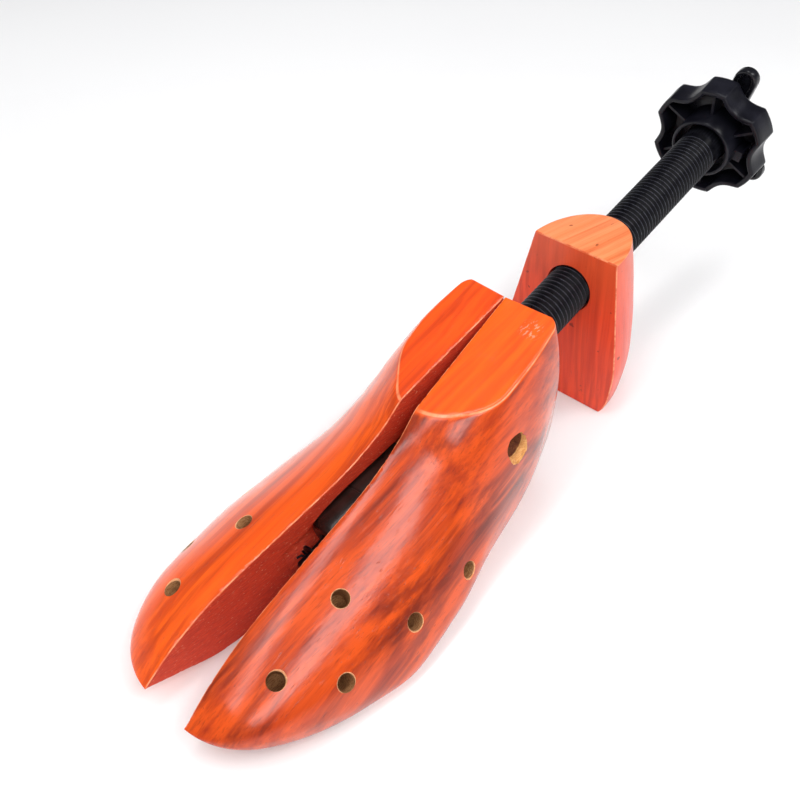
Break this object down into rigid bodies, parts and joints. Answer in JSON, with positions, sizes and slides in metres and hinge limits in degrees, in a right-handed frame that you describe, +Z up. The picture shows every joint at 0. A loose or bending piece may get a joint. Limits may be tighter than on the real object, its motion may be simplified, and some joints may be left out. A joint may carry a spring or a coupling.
{
  "type": "shoe tree",
  "caption": "Wooden two-way shoe stretcher tree: a split last spread by a wedge on a rod, and a heel block driven along a threaded tube by a star knob.",
  "frame": {"origin": "centre of the footprint, on the floor the soles stand on", "axes": "+Z up, the toe points to -Y and the hand knob to +Y, +X to the side of the fuller half; the shaft lies in the plane X = 0 and rises 12.25 degrees towards +Y"},
  "size_m": [0.0978, 0.3614, 0.1161],
  "materials": {
    "stained_wood": "glossy varnish over an orange-red stain",
    "heel_wood": "satin varnish over an orange-red stain",
    "threaded_metal": "black satin coating",
    "knob_plastic": "black, moulded, slightly shiny",
    "key_plastic": "black, glossy",
    "expander_plastic": "brown-black, glossy",
    "socket_plastic": "black, moulded",
    "nut_plastic": "black, moulded",
    "dark_steel": "blackened steel",
    "bright_steel": "plain zinc-coated steel"
  },
  "bodies": {
    "socket": {"pivot_collar": "socket_plastic", "collar_bush": "socket_plastic", "tie_bolt": "bright_steel", "tie_bolt_nut": "bright_steel", "tie_washer_left": "bright_steel", "tie_washer_right": "bright_steel", "tie_spring_left": "bright_steel", "tie_spring_right": "bright_steel"},
    "right_half": {"last_half_right": "stained_wood"},
    "left_half": {"last_half_left": "stained_wood"},
    "wedge": {"expander": "expander_plastic"},
    "key_and_rod": {"wing_key": "key_plastic", "wing_key_pin": "bright_steel", "inner_rod": "dark_steel", "rod_stop_ring": "bright_steel", "rod_tip_washer": "dark_steel", "split_pin": "dark_steel"},
    "knob_and_tube": {"star_knob": "knob_plastic", "knob_set_screw": "bright_steel", "threaded_tube": "threaded_metal", "tube_retaining_ring": "bright_steel", "thrust_washer": "bright_steel"},
    "heel": {"heel_block": "heel_wood", "heel_nut": "nut_plastic"}
  },
  "joints": [
    {"name": "right_half_swing", "type": "hinge", "parent": "socket", "child": "right_half", "pos_m": [0.00015, -0.0086, 0.03], "axis": [0, 0, 1], "range_deg": [-3.27, 1.23]},
    {"name": "left_half_swing", "type": "hinge", "parent": "socket", "child": "left_half", "pos_m": [-0.00015, -0.0086, 0.03], "axis": [0, 0, -1], "range_deg": [-3.27, 1.23]},
    {"name": "wedge_slide", "type": "slide", "parent": "socket", "child": "wedge", "axis": [0, -0.9772, -0.2122], "range_m": [-0.01601, 0.00601]},
    {"name": "key_turn", "type": "hinge", "parent": "socket", "child": "key_and_rod", "pos_m": [0, 0.17121, 0.08504], "axis": [0, 0.9772, 0.2122], "range_deg": [-5760, 2160]},
    {"name": "knob_turn", "type": "hinge", "parent": "socket", "child": "knob_and_tube", "pos_m": [0, 0.15948, 0.08249], "axis": [0, 0.9772, 0.2122], "range_deg": [-7200, 10800]},
    {"name": "heel_slide", "type": "slide", "parent": "socket", "child": "heel", "axis": [0, 0.9772, 0.2122], "range_m": [-0.04601, 0.06901]}
  ],
  "couplings": [
    {"joint": "wedge_slide", "follows": "key_turn", "m_per_rad": 0.00015915},
    {"joint": "right_half_swing", "follows": "key_turn", "ratio": 0.00056771},
    {"joint": "left_half_swing", "follows": "key_turn", "ratio": 0.00056771},
    {"joint": "heel_slide", "follows": "knob_turn", "m_per_rad": 0.00036606}
  ]
}
